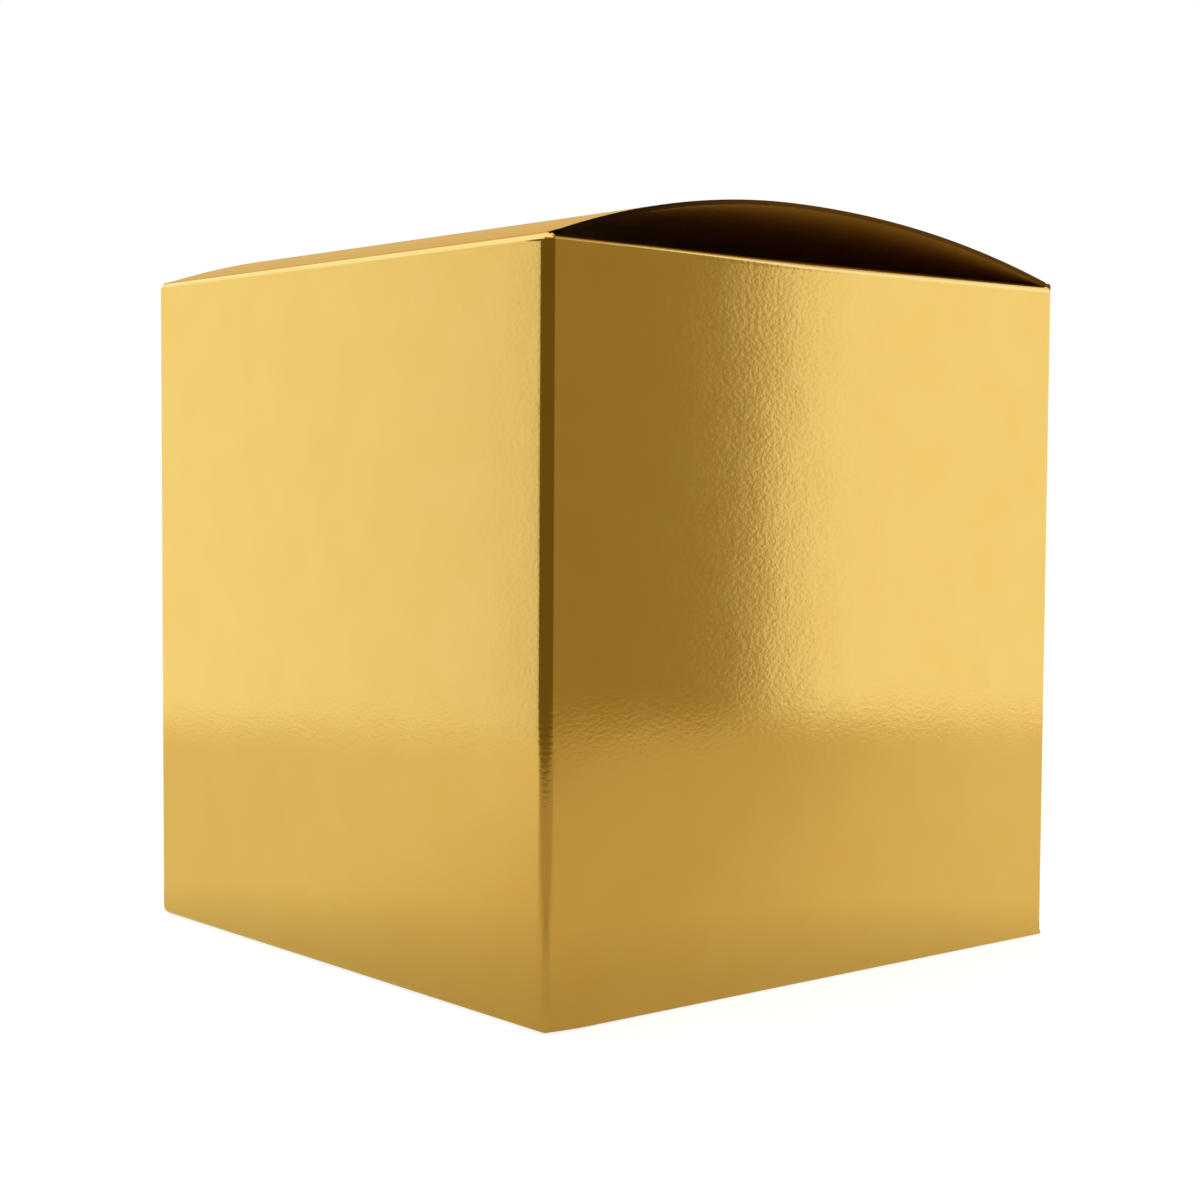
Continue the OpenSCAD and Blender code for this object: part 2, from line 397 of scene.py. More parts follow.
def swell(u, v):
    """Height of a panel's slight bulge and waves, in mm; u and v run from -1 to 1 across it."""
    hold = (1 - u ** 2) * (1 - v ** 2)
    waves = np.sin(7.1 * u + 1.3) * np.cos(5.3 * v + 0.7) + 0.6 * np.sin(11.7 * u - 2.1 + 3 * v)
    return hold * (BULGE + WAVE * waves)


def fold_line(axis_z, low_axis_z, count):
    """Heights of a wall's rows, close together where the wall's end is hollowed for the roll."""
    bend = steps(0, HOLLOW_END, HOLLOW_ROWS)
    low = low_axis_z + FOLD_R * np.sin(bend)
    high = axis_z - FOLD_R * np.sin(bend[::-1])
    return np.concatenate([low, steps(low[-1], high[0], count)[1:-1], high])


def hollow(z, axis_z, low_axis_z):
    """Depth of the wall's inner face below the outer one, given the rolls above and below it."""
    reach = np.minimum(np.abs(z - axis_z), np.abs(z - low_axis_z)) / FOLD_R
    return np.minimum(FOLD_R - FOLD_R * np.sqrt(1 - np.clip(reach, 0, 1) ** 2), BOARD)


def beside_folds(low, high, count):
    """Even steps, with a few short ones at each end where the wall turns in towards the fold."""
    inside = steps(low + 1, high - 1, count)
    return np.concatenate([low + BESIDE_FOLD, inside, (high - BESIDE_FOLD)[::-1]])


def wall(name, node, normal, along, z, depth):
    """normal is the wall's outward direction in plan; along are places on the axis beside it."""
    across, heights = np.meshgrid(along, z)
    u = 2 * (across - along[0]) / (along[-1] - along[0]) - 1
    v = 2 * (heights - z[0]) / (z[-1] - z[0]) - 1
    thick = np.maximum(depth, FEATHER)[:, None]
    edge = np.minimum(across - along[0], along[-1] - across)
    out = HALF + swell(u, v) - TURN_IN * np.exp(-edge / TURN_WIDE)
    back = np.where(thick < BOARD, HALF, out) - thick

    def grid(reach):
        x = reach * normal[0] if normal[0] else across
        y = reach * normal[1] if normal[1] else across
        return np.stack([x, y, heights], axis=-1)

    return sheet(name, grid(out), grid(back), "carton", [node])


# %% Walls
WALL_STEPS = 30
hinge_z = fold_line(HINGE_Z, BOX_H - HINGE_Z, WALL_STEPS)
side_z = fold_line(SIDE_Z, BOX_H - SIDE_Z, WALL_STEPS)
hinge_hollow = hollow(hinge_z, HINGE_Z, BOX_H - HINGE_Z)
side_hollow = hollow(side_z, SIDE_Z, BOX_H - SIDE_Z)
front_low, front_high = node_box("front_wall")
front_z = steps(front_low[2], front_high[2], WALL_STEPS)
whole = beside_folds(-AXIS, AXIS, WALL_STEPS)
to_seam = beside_folds(node_box("right_wall")[0][1], AXIS, WALL_STEPS)
to_tab = beside_folds(-AXIS, front_high[0], WALL_STEPS)
wall("back_wall_sheet", "back_wall", (0, 1), whole, hinge_z, hinge_hollow)
wall("left_wall_sheet", "left_wall", (-1, 0), whole, side_z, side_hollow)
wall("right_wall_sheet", "right_wall", (1, 0), to_seam, side_z, side_hollow)
wall("front_wall_sheet", "front_wall", (0, -1), to_tab, front_z, np.full(len(front_z), BOARD))
print("walls:", ", ".join(made))

# %% [markdown]
# ## The upright folds
# Where two walls meet, the sheet bends round a quarter circle. At the two back corners three folds
# of the same radius come together, and the foil is pulled into a small dome, which the photo shows
# at the top and the foot of the near corner. At the front the walls end in cut edges, so those two
# columns are cut too, with a slant down to the dust flap's fold.

# %% Upright fold helper
BEND_DEGREES = np.array([0, 1, 4, 9, 15, 22, 30, 38, 45, 52, 60, 68, 75, 81, 86, 89, 90])
COLUMN_STEPS = 12
MIDDLE = steps(0, 1, COLUMN_STEPS)[1:-1]
DOME_FADE = 8


def column(name, node, centre, first_degrees, rise, reach):
    """rise and reach give a row's height and share of the radius; the foot mirrors the top."""
    angle = np.radians(BEND_DEGREES + first_degrees)[:, None]
    from_end = np.radians(np.minimum(BEND_DEGREES, 90 - BEND_DEGREES))[:, None] * FOLD_R
    turned_in = TURN_IN * (2 - np.exp(-from_end / TURN_WIDE))

    def grid(radius):
        high = rise(angle, radius)
        foot = BOX_H - high
        between = high[:, :1] * MIDDLE + foot[:, :1] * (1 - MIDDLE)
        heights = np.concatenate([foot[:, ::-1], between, high], axis=1)
        share = reach(angle) + 0 * high
        shares = np.concatenate([share[:, ::-1], np.ones(between.shape), share], axis=1)
        round_r = radius - turned_in * shares ** DOME_FADE
        x = centre[0] + round_r * shares * np.cos(angle)
        y = centre[1] + round_r * shares * np.sin(angle)
        return np.stack([x, y, heights], axis=-1)

    sheet(name, grid(FOLD_R), grid(FOLD_R - BOARD), "carton", [node])


# %% Ends of the upright folds
LATITUDES = np.radians(BEND_DEGREES)


def dome(angle, radius):
    return HINGE_Z + radius * np.sin(LATITUDES) + 0 * angle


def dome_reach(angle):
    return np.cos(LATITUDES) + 0 * angle


def cut_slant(angle, radius):
    return SIDE_Z + (front_high[2] - SIDE_Z) * np.abs(np.sin(angle))


def tab_slant(angle, radius):
    return HINGE_Z - FOLD_R / 2 * np.abs(np.cos(angle))


def full_reach(angle):
    return np.ones(angle.shape)


# %% Upright folds
column("back_left_fold", "back_left_crease", (-AXIS, AXIS), 90, dome, dome_reach)
column("back_right_fold", "back_right_crease", (AXIS, AXIS), 0, dome, dome_reach)
column("front_left_fold", "front_left_crease", (-AXIS, -AXIS), 180, cut_slant, full_reach)
column("glue_tab_fold", "glue_tab_crease", (front_high[0], -AXIS), 270, tab_slant, full_reach)
print("upright folds:", ", ".join(made[-4:]))

# %% [markdown]
# ## Glue tab and seam
# The fourth corner is closed by a tab on the front wall, glued inside the right wall. Its ends are
# cut at a slant so that it can't catch the lid or the bottom. Both pieces are thin plates, so they
# use the same sheet helper, with the tab's foil towards the glue.

# %% Glue tab
TAB_BEVEL, TAB_STEPS, TAB_ROWS = 4, 10, 24
tab_low, tab_high = node_box("glue_tab")
tab_across = steps(0, 1, TAB_STEPS)[:, None]
tab_half = (tab_high[2] - tab_low[2]) / 2 - TAB_BEVEL * tab_across
tab_z = BOX_H / 2 + tab_half * steps(-1, 1, TAB_ROWS)[None, :]
tab_y = np.broadcast_to(tab_low[1] + (tab_high[1] - tab_low[1]) * tab_across, tab_z.shape)
tab_faces = [np.stack([np.full(tab_z.shape, x), tab_y, tab_z], axis=-1)
             for x in (tab_high[0], tab_low[0])]
sheet("glue_tab_sheet", *tab_faces, "carton", ["glue_tab"])

# %% Seam glue
SQUEEZE = 0.06
glue_low, glue_high = node_box("seam_glue")
glue_y, glue_z = np.meshgrid(steps(-1, 1, 8), steps(glue_low[2], glue_high[2], 60), indexing="ij")
squeezed = 1 + SQUEEZE * np.sin(0.9 * glue_z) * np.cos(0.37 * glue_z + 1)
glue_y = (glue_low[1] + glue_high[1]) / 2 + glue_y * (glue_high[1] - glue_low[1]) / 2 * squeezed
glue_faces = [np.stack([np.full(glue_z.shape, x), glue_y, glue_z], axis=-1)
              for x in (glue_high[0], glue_low[0])]
glue_piece = sheet("seam_glue_line", *glue_faces, "carton", ["seam_glue"])
glue_piece.data.materials.clear()
for _ in FINISHES:
    glue_piece.data.materials.append(pva)
print("seam:", ", ".join(made[-2:]))

# %% [markdown]
# ## Rolls along the turning creases
# A crease is two boards thick once it is folded: the fibres crush inside and the sheet rolls over
# the edge. The roll belongs to the piece that stays still. The lid's crease is round, with a bead
# that stands a tenth of a millimetre proud of the wall, most at the near corner. The dust flaps'
# creases are pressed squarer, and at the bottom their outer skin is drawn down as a thin skirt over
# the edge of the bottom panel, because the photo shows no cut edge there.

# %% Sections of the rolls
SECTION = np.concatenate([np.arange(-180, -10, 10), np.arange(-10, 30, 1),
                          np.arange(30, 90, 3), np.arange(90, 180, 10)])
UPPER = (SECTION > 0) & (SECTION < 90)
PRESSED = 0.6
SKIRT, SKIRT_R, SKIRT_BACK = 0.54, 0.35, 0.62
SKIRT_TURNS, SKIRT_FLAT, SKIRT_LEAVES = 30, 66, 78


def round_section():
    beta = np.radians(SECTION)
    return np.cos(beta), np.sin(beta)


def pressed_section():
    """The circle's outer upper quarter swapped for a square corner with a small radius."""
    a, z = round_section()
    inset = 1 - PRESSED
    both = inset * (a + z)
    arc = both + np.sqrt(np.clip(both ** 2 - 2 * inset ** 2 + PRESSED ** 2, 0, None))
    high, low = np.maximum(np.abs(a), np.abs(z)), np.minimum(np.abs(a), np.abs(z))
    reach = np.where(UPPER, np.where(low < inset * high, 1 / high, arc), 1)
    return a * reach, z * reach


def skirt_section():
    """The same corner drawn out past the flap by the thickness of a board, as a thin skirt."""
    a, z = round_section()
    tip = 1 + SKIRT
    rise = SECTION / SKIRT_TURNS * (tip - SKIRT_R)
    turned = np.clip((SECTION - SKIRT_TURNS) / (SKIRT_FLAT - SKIRT_TURNS), 0, 1)
    turn = np.radians(turned * 90)
    side_a = 1 - SKIRT_R + SKIRT_R * np.cos(turn)
    side_z = np.where(SECTION < SKIRT_TURNS, rise, tip - SKIRT_R + SKIRT_R * np.sin(turn))
    marks = [SKIRT_FLAT, SKIRT_LEAVES, 90]
    back_a = np.interp(SECTION, marks, [1 - SKIRT_R, SKIRT_BACK, 0])
    back_z = np.interp(SECTION, marks, [tip, 1, 1])
    late = SECTION > SKIRT_FLAT
    drawn_a, drawn_z = np.where(late, back_a, side_a), np.where(late, back_z, side_z)
    return np.where(UPPER, drawn_a, a), np.where(UPPER, drawn_z, z)


print(len(SECTION), "points round a roll")

# %% [markdown]
# A roll's section changes along its length. The pressed rolls go from round to square between 2 and
# 24 mm past the middle, and rise towards the near corner. The skirt ends in the round dome of the
# corner. So each roll is a row of rings, every ring with its own share of roundness.

# %% Roll helper
ROLL_STEPS, ROLL_END_STEPS, ROLL_END = 48, 12, 0.9
FOIL_FROM, FOIL_TO = -60, 90
WEB = 5
PRESSED_FROM, PRESSED_TO = 2, 24
PULL, PULL_FROM, PULL_TO_DEGREES = 0.18, 10, 120
CUT_FRONT = 0.8
PROUD_FROM, PROUD_TOP, PROUD_TO, PROUD_END, PROUD_FAR = -0.1, 0.2, 1, 0.8, 0.15


def roll(name, node, axis, middle, half, body, section, proud=0, cut_front=False, flip=False,
         foil_to=FOIL_TO):
    """axis 0 runs along X at (y, z) = middle, axis 1 along Y at (x, z) = middle.

    proud is the height of the bead, foil_to the angle at which the foil ends."""
    out = np.sign(middle[0])
    a, z = section()
    round_a, round_z = round_section()
    above = SECTION >= 0
    lift = (HINGE_Z - middle[1]) * np.clip((180 - SECTION) / 90, 0, 1) * above
    low_end = -half - (np.clip(round_z, 0, CUT_FRONT) if cut_front else 0 * round_z)
    bm = bmesh.new()
    rings = []
    far_steps, near_steps = steps(0, ROLL_END, ROLL_STEPS), steps(ROLL_END, 1, ROLL_END_STEPS)
    for t in np.concatenate([far_steps, near_steps[1:]]):
        along = low_end + (half - low_end) * t
        roundness, raised = 0 * round_z, 0
        if section is skirt_section:
            roundness = np.clip(1 - (half - along) / WEB, 0, 1) ** 2
            raised = lift * roundness
        if section is pressed_section:
            pressed = (along - PRESSED_FROM) / (PRESSED_TO - PRESSED_FROM)
            roundness = 1 - np.clip(pressed, 0, 1)
            pull = np.clip((along - PULL_FROM) / (half - PULL_FROM), 0, 1)
            raised = PULL * pull * above * (SECTION < PULL_TO_DEGREES)
        section_a = (a + (round_a - a) * roundness) * FOLD_R
        section_z = (z + (round_z - z) * roundness) * FOLD_R + raised
        bead = np.interp(section_z, [PROUD_FROM, PROUD_TOP, PROUD_TO], [0, 1, 0])
        from_far = PROUD_FAR + (1 - PROUD_FAR) * (1 - t) ** 3
        height = proud * from_far * np.clip((half - np.abs(along)) / PROUD_END, 0, 1)
        section_a = section_a + height * np.where(section_a > 0, bead, 0)
        across, up = middle[0] + out * section_a, middle[1] + section_z
        x, y = (along, across) if axis == 0 else (across, along)
        up = BOX_H - up if flip else up
        rings.append([bm.verts.new(point) for point in np.stack([x, y, up], axis=1) * MM])
    for before, after in zip(rings, rings[1:]):
        for i in range(len(SECTION)):
            j = (i + 1) % len(SECTION)
            face = bm.faces.new([before[i], before[j], after[j], after[i]])
            face.material_index = 0 if FOIL_FROM <= SECTION[i] < foil_to else 1
    for ring in (rings[0], rings[-1]):
        bm.faces.new(ring).material_index = 2
    settle(bm, name, body, [node])


# %% Rolls
PROUD = 0.12
LEAVE_DEGREES, TUCK_FOIL_TO = 66, 110
hinge_at, tuck_at = (AXIS, HINGE_Z), (TUCK_Y, HINGE_Z)
roll("lid_hinge_roll", "lid_hinge_crease", 0, hinge_at, AXIS, "carton", round_section, PROUD,
     foil_to=LEAVE_DEGREES)
roll("bottom_hinge_roll", "bottom_hinge_crease", 0, hinge_at, AXIS, "carton", round_section,
     flip=True)
roll("lid_tuck_roll", "lid_tuck_crease", 0, tuck_at, TUCK_HALF, "lid", round_section,
     foil_to=TUCK_FOIL_TO)
roll("bottom_tuck_roll", "bottom_tuck_crease", 0, tuck_at, TUCK_HALF, "bottom", round_section,
     flip=True, foil_to=TUCK_FOIL_TO)
for word, side_sign in (("left", -1), ("right", 1)):
    side_at = (side_sign * AXIS, SIDE_Z)
    roll(f"top_{word}_roll", f"top_{word}_crease", 1, side_at, AXIS, "carton", pressed_section,
         cut_front=True)
    roll(f"bottom_{word}_roll", f"bottom_{word}_crease", 1, side_at, AXIS, "carton",
         skirt_section, cut_front=True, flip=True)
print("rolls:", ", ".join(made[-8:]))

# %% [markdown]
# ## Lid and bottom panel
# The lid is a little too long for the box, so tucking it in springs it up: it leaves the hinge at
# about 18 degrees and comes down at 15 to the tuck crease, highest a little on the hinge's side of
# the middle. Two circular arcs that meet level at the crown give that shape. The sheet thins out on
# top of the tuck roll, where the two are flush. At both ends of that crease the sheet is slit, and
# a narrow lip goes on over the slit. The bottom panel is flat, and its corners at the hinge are
# taken in a little, so that they stay inside the domes of the corners.

# %% Lid and bottom panel
PANEL_START = AXIS - lid_high[1]
PANEL_END = TUCK_Y + 0.05 * FOLD_R
LIP_Y = lid_low[1]
LIP_STEPS, CREASE_STEPS, PANEL_ROWS = 5, 24, 60
CROWN_Y = 4.79
CROWN_Z = lid_high[2]
RISE = CROWN_Z - BOX_H
RELIEF, RELIEF_LEN = 0.9, 5


def bow(y, sink=0):
    """Height of the lid at y, or of the surface sink below it along the arc's radius."""
    span = np.where(y > CROWN_Y, AXIS - CROWN_Y, CROWN_Y - TUCK_Y)
    radius = (span ** 2 + RISE ** 2) / (2 * RISE)
    return CROWN_Z - radius + np.sqrt((radius - sink) ** 2 - (y - CROWN_Y) ** 2)


def closing_panel(name, node, body, top, under, flip, relief=0):
    """top and under give the heights of the two faces at y; relief narrows the hinge's end."""
    y = np.concatenate([steps(AXIS - PANEL_START, PANEL_END, PANEL_ROWS), [TUCK_Y, LIP_Y]])
    x = np.concatenate([steps(-LID_HALF, -TUCK_HALF, LIP_STEPS),
                        steps(-TUCK_HALF, TUCK_HALF, CREASE_STEPS)[1:],
                        steps(TUCK_HALF, LID_HALF, LIP_STEPS)[1:]])
    grid_y, grid_x = np.meshgrid(y, x, indexing="ij")
    beside_hinge = np.clip(1 - (AXIS - PANEL_START - grid_y) / RELIEF_LEN, 0, 1)
    grid_x = grid_x * (1 - relief / LID_HALF * beside_hinge)
    high, low = top(grid_y), under(grid_y)
    over_roll = np.abs(grid_x) <= TUCK_HALF + FEATHER
    near = np.clip(1 - ((grid_y - TUCK_Y) / FOLD_R) ** 2, 0, None)
    on_roll = np.clip(HINGE_Z + FOLD_R * np.sqrt(near), low, high - FEATHER)
    low = np.where(over_roll, on_roll, low)
    keep = np.ones((len(y) - 1, len(x) - 1), bool)
    keep[-2:, LIP_STEPS:-LIP_STEPS] = False
    faces = [np.stack([grid_x, grid_y, BOX_H - z if flip else z], axis=-1) for z in (high, low)]
    return sheet(name, *faces, body, [node], keep)


lid_sheet = closing_panel("lid_sheet", "lid_panel", "lid", bow, lambda y: bow(y, BOARD), False)
lid_sheet.data.materials[2] = lid_core_painted_shade
closing_panel("bottom_sheet", "bottom_panel", "bottom", lambda y: np.full(y.shape, BOX_H),
              lambda y: np.full(y.shape, BOX_H - BOARD), True, RELIEF)
print("panels:", ", ".join(made[-2:]))

# %% [markdown]
# ## Tuck flaps and dust flaps
# Flaps are cut with tapered sides and rounded corners so that they slide in without catching. Each
# is laid out as rows across the flap, and each row is as wide as the outline is there.

# %% Flap helpers
TIP_ROWS, ROW, FLAP_COLUMNS = 14, 2, 40


def edge_line(s, from_s, start, slope, length, corner):
    """How far a flap's side edge is from its middle, s away from the crease, tip corner and all."""
    lean = math.hypot(1, slope)
    middle_s = length - corner
    middle = start - slope * (middle_s - from_s) - corner * lean
    straight = start - slope * (s - from_s)
    arc = middle + np.sqrt(np.clip(corner ** 2 - (s - middle_s) ** 2, 0, None))
    return np.where(s < middle_s + corner * slope / lean, straight, arc)


def flap_rows(marks, length, corner):
    tip = length - corner + corner * np.sin(np.linspace(0, math.pi / 2, TIP_ROWS + 1))
    spans = zip(marks, marks[1:] + [length - corner])
    rows = [steps(a, b, max(1, round((b - a) / ROW)))[:-1] for a, b in spans]
    return np.concatenate(rows + [tip])


def flap_grid(rows, low, high):
    share = steps(0, 1, FLAP_COLUMNS)
    across = low[:, None] + (high - low)[:, None] * share[None, :]
    down = np.broadcast_to(rows[:, None], across.shape)
    u = 2 * share[None, :] - 1
    v = 2 * (down - rows[0]) / (rows[-1] - rows[0]) - 1
    return across, down, swell(u + 0 * v, v)


# %% Tuck flaps
TUCK_LEN, TUCK_TAPER, TUCK_CORNER, SLIT_FALL = 18, 1.2, 8, 1.2
tuck_lean = math.radians(15)
slit_end = PANEL_START + SLIT_FALL
tuck_shoulder = node_box("lid_tuck_flap")[1][0]
tuck_rows = flap_rows([PANEL_START, slit_end], TUCK_LEN, TUCK_CORNER)
tuck_slope = TUCK_TAPER / (TUCK_LEN - slit_end)
tuck_width = edge_line(tuck_rows, slit_end, tuck_shoulder, tuck_slope, TUCK_LEN, TUCK_CORNER)
opening = np.clip((tuck_rows - PANEL_START) / SLIT_FALL, 0, 1)
from_slit = TUCK_HALF + (tuck_shoulder - TUCK_HALF) * opening
tuck_width = np.where(opening < 1, from_slit, tuck_width)


def tuck_flap(name, node, body, flip):
    across, down, bulge = flap_grid(tuck_rows, -tuck_width, tuck_width)
    faces = []
    for depth in (0, BOARD):
        reach = depth - FOLD_R - bulge
        y = TUCK_Y + reach * math.cos(tuck_lean) + down * math.sin(tuck_lean)
        z = HINGE_Z + reach * math.sin(tuck_lean) - down * math.cos(tuck_lean)
        faces.append(np.stack([across, y, BOX_H - z if flip else z], axis=-1))
    sheet(name, *faces, body, [node])


tuck_flap("lid_tuck_sheet", "lid_tuck_flap", "lid_tuck", False)
tuck_flap("bottom_tuck_sheet", "bottom_tuck_flap", "bottom_tuck", True)
print("tuck flaps:", ", ".join(made[-2:]))

# %% Dust flaps
DUST_CORNER, SHOULDER_LEN, SHOULDER_STEP, DUST_TAPER = 5, 9, 3, 0.62
dust_low, dust_high = node_box("top_right_dust_flap")
dust_len = AXIS - dust_low[0]
shoulder_end = SHOULDER_LEN + SHOULDER_STEP
dust_rows = flap_rows([PANEL_START, SHOULDER_LEN, shoulder_end], dust_len, DUST_CORNER)
inner_front = dust_low[1] + SHOULDER_STEP
dust_front = -edge_line(dust_rows, PANEL_START, -inner_front, 0, dust_len, DUST_CORNER)
dust_front = dust_front - np.clip(shoulder_end - dust_rows, 0, SHOULDER_STEP)
dust_back = edge_line(dust_rows, PANEL_START, dust_high[1], DUST_TAPER, dust_len, DUST_CORNER)


def dust_flap(name, node, body, side_sign, flip):
    across, down, bulge = flap_grid(dust_rows, dust_front, dust_back)
    faces = []
    for depth in (0, BOARD):
        z = SIDE_Z + FOLD_R - depth + bulge
        z = BOX_H - z if flip else z
        faces.append(np.stack([side_sign * (AXIS - down), across, z], axis=-1))
    sheet(name, *faces, body, [node])


for word, side_sign in (("left", -1), ("right", 1)):
    for end, flip in (("top", False), ("bottom", True)):
        flap = f"{end}_{word}"
        dust_flap(f"{flap}_dust_sheet", f"{flap}_dust_flap", f"{flap}_flap", side_sign, flip)
print("dust flaps:", ", ".join(made[-4:]))

# %% [markdown]
# ## Creases that bend
# Between a roll and the panel that turns about it the foil carries on without a break. A thin strip
# stands for it: it leaves the roll where the two are tangent and ends on the panel's edge. It is
# built in the closed pose and attached to no body.

# %% Crease strip helpers
STRIP_THICK, STRIP_STEPS = 0.08, 12
INSIDE_BY = 10


def crease_strip(name, across, profile, axis, flip):
    """profile is a list of (horizontal, z) points of the foil side, from the roll to the panel."""
    points = np.array(profile)
    tangent = np.gradient(points, axis=0)
    tangent /= np.linalg.norm(tangent, axis=1)[:, None]
    normal = np.stack([-tangent[:, 1], tangent[:, 0]], axis=1)
    middle_a = np.sign(points[0, 0]) * AXIS if axis else points[0, 0]
    inside = np.array([middle_a, points[:, 1].min() - INSIDE_BY])
    normal *= np.sign(((points - inside) * normal).sum(axis=1))[:, None]
    faces = []
    for depth in (0, STRIP_THICK):
        flat = points - depth * normal
        a = np.broadcast_to(flat[:, 0][:, None], (len(points), len(across)))
        z = np.broadcast_to(flat[:, 1][:, None], a.shape)
        along = np.broadcast_to(np.array(across)[None, :], a.shape)
        x, y = (along, a) if axis == 0 else (a, along)
        faces.append(np.stack([x, y, BOX_H - z if flip else z], axis=-1))
    piece = sheet(name, *faces, None)
    ends = [faces[0][i, 0] * MM for i in (0, -1)]
    for end in ends:
        end[1 if axis else 0] = 0
    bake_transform(piece)


def curve_between(start, start_dir, end, end_dir):
    """A cubic from start to end, leaving and arriving along the given directions."""
    t = np.linspace(0, 1, STRIP_STEPS + 1)[:, None]
    start, end = np.array(start), np.array(end)
    reach = np.linalg.norm(end - start) / 3
    a, b = start + reach * np.array(start_dir), end - reach * np.array(end_dir)
    return (1 - t) ** 3 * start + 3 * (1 - t) ** 2 * t * a + 3 * (1 - t) * t ** 2 * b + t ** 3 * end


# %% Profiles of the strips
SLOPE_OVER = 0.1
leave = math.radians(LEAVE_DEGREES)
leave_point = (AXIS + FOLD_R * math.cos(leave), HINGE_Z + FOLD_R * math.sin(leave))
lid_start = np.array(AXIS - PANEL_START)
hinge_slope = math.atan2(bow(lid_start - SLOPE_OVER) - bow(lid_start), SLOPE_OVER)
lid_edge = (AXIS - PANEL_START, float(bow(lid_start)))
lid_curve = curve_between(leave_point, (-math.sin(leave), math.cos(leave)), lid_edge,
                          (-math.cos(hinge_slope), math.sin(hinge_slope)))
strip_marks = steps(0, PANEL_START, STRIP_STEPS)
flat_hinge = [(AXIS - s, BOX_H) for s in strip_marks]
flat_side = [(AXIS - s, SIDE_Z + FOLD_R) for s in strip_marks]
tuck_curve = [(TUCK_Y - FOLD_R * math.cos(tuck_lean) + s * math.sin(tuck_lean),
               HINGE_Z - FOLD_R * math.sin(tuck_lean) - s * math.cos(tuck_lean))
              for s in strip_marks]
print(f"the lid's strip leaves the hinge at {LEAVE_DEGREES} degrees")

# %% Crease strips
lid_across = fine_ends(-LID_HALF, LID_HALF, 30)
bottom_across = lid_across * (1 - RELIEF / LID_HALF)
tuck_across = fine_ends(-TUCK_HALF, TUCK_HALF, 24)
dust_across = fine_ends(dust_low[1], dust_high[1], 30)
crease_strip("lid_hinge_strip", lid_across, lid_curve, 0, False)
crease_strip("bottom_hinge_strip", bottom_across, flat_hinge, 0, True)
crease_strip("lid_tuck_strip", tuck_across, tuck_curve, 0, False)
crease_strip("bottom_tuck_strip", tuck_across, tuck_curve, 0, True)
for word, side_sign in (("left", -1), ("right", 1)):
    profile = [(side_sign * a, z) for a, z in flat_side]
    for end, flip in (("top", False), ("bottom", True)):
        flap = f"{end}_{word}"
        crease_strip(f"{flap}_strip", dust_across, profile, 1, flip)
print(len(made), "pieces")

# %% [markdown]
# ## Floor
# The box stands on a round pale board. Its edge, mirrored in the foil, is the level line low on
# both faces, and its tone falls off towards the camera, as it does on a table lit from the far
# side: painted light and shade. It is painted darker close to the box, a painted shade where the
# box keeps light off it, and has a soft painted shadow in front of the near corner, which darkens
# the foot of the near fold. These tones are emitted, so that they stay as they are written. Cameras
# see white paper with the box's soft shadow instead, and from below they see through it, so that
# the bottom can be looked at.

# %% Floor disc
FLOOR_AT = Vector((15, -40, -0.05)) * MM
FLOOR_R, FLOOR_FADE = 315 * MM, 85 * MM
floor_mesh = bpy.data.meshes.new("floor")
disc = bmesh.new()
bmesh.ops.create_circle(disc, cap_ends=True, segments=256, radius=FLOOR_R)
disc.to_mesh(floor_mesh)
disc.free()
floor = bpy.data.objects.new("floor", floor_mesh)
floor.location = FLOOR_AT
bpy.context.collection.objects.link(floor)
print("floor faces up:", floor_mesh.polygons[0].normal.z > 0)

# %% Tones of the floor in the foil
# The floor's emitted tones are painted light and shade, falling off towards the camera.
SHADE_TOWARDS, SHADE_REACH = Vector((-0.77, 0.63, 0)), 120 * MM
SHADES = {0.083: "#d6ceb9", 0.267: "#c9bea3", 0.342: "#c1b497", 0.433: "#b5a785",
          0.583: "#b2a380", 0.7: "#ae9e7a", 0.933: "#978457"}
# Painted shade on the floor: darker close to the box, and a soft painted shadow in front of the
# near corner.
NEAR_FROM, NEAR_TO, NEAR_SHADE_TONE = 42 * MM, 75 * MM, 0.74
SPOT_AT, SPOT_FROM, SPOT_TO, SPOT_SHADOW_TONE = Vector((-64, 58, 0)) * MM, 20 * MM, 38 * MM, 0.82

floor_material, tree, board, place = new_material("matt_pale_board")
facing = add_node(tree, "ShaderNodeVectorMath", {0: place, 1: SHADE_TOWARDS / SHADE_REACH},
                  operation="DOT_PRODUCT")
from_middle = add_node(tree, "ShaderNodeMath", {0: facing.outputs["Value"],
                       1: SHADE_TOWARDS.dot(FLOOR_AT) / SHADE_REACH}, operation="ADD")
shade = add_node(tree, "ShaderNodeValToRGB", {"Fac": from_middle.outputs[0]})
for i, (spot, tone) in enumerate(SHADES.items()):
    stop = shade.color_ramp.elements[i] if i < 2 else shade.color_ramp.elements.new(spot)
    stop.position, stop.color = spot, linear(tone)
from_box = add_node(tree, "ShaderNodeVectorMath", {0: place, 1: -FLOOR_AT}, operation="DISTANCE")
near_box_shade = add_node(tree, "ShaderNodeMapRange", {"Value": from_box.outputs["Value"],
                    "From Min": NEAR_FROM, "From Max": NEAR_TO, "To Min": NEAR_SHADE_TONE, "To Max": 1})
from_spot = add_node(tree, "ShaderNodeVectorMath", {0: place, 1: SPOT_AT - FLOOR_AT},
                     operation="DISTANCE")
painted_shadow_spot = add_node(tree, "ShaderNodeMapRange", {"Value": from_spot.outputs["Value"],
                    "From Min": SPOT_FROM, "From Max": SPOT_TO, "To Min": SPOT_SHADOW_TONE, "To Max": 1},
                    interpolation_type="SMOOTHSTEP")
strength = add_node(tree, "ShaderNodeMath", {0: near_box_shade.outputs[0], 1: painted_shadow_spot.outputs[0]},
                    operation="MULTIPLY")
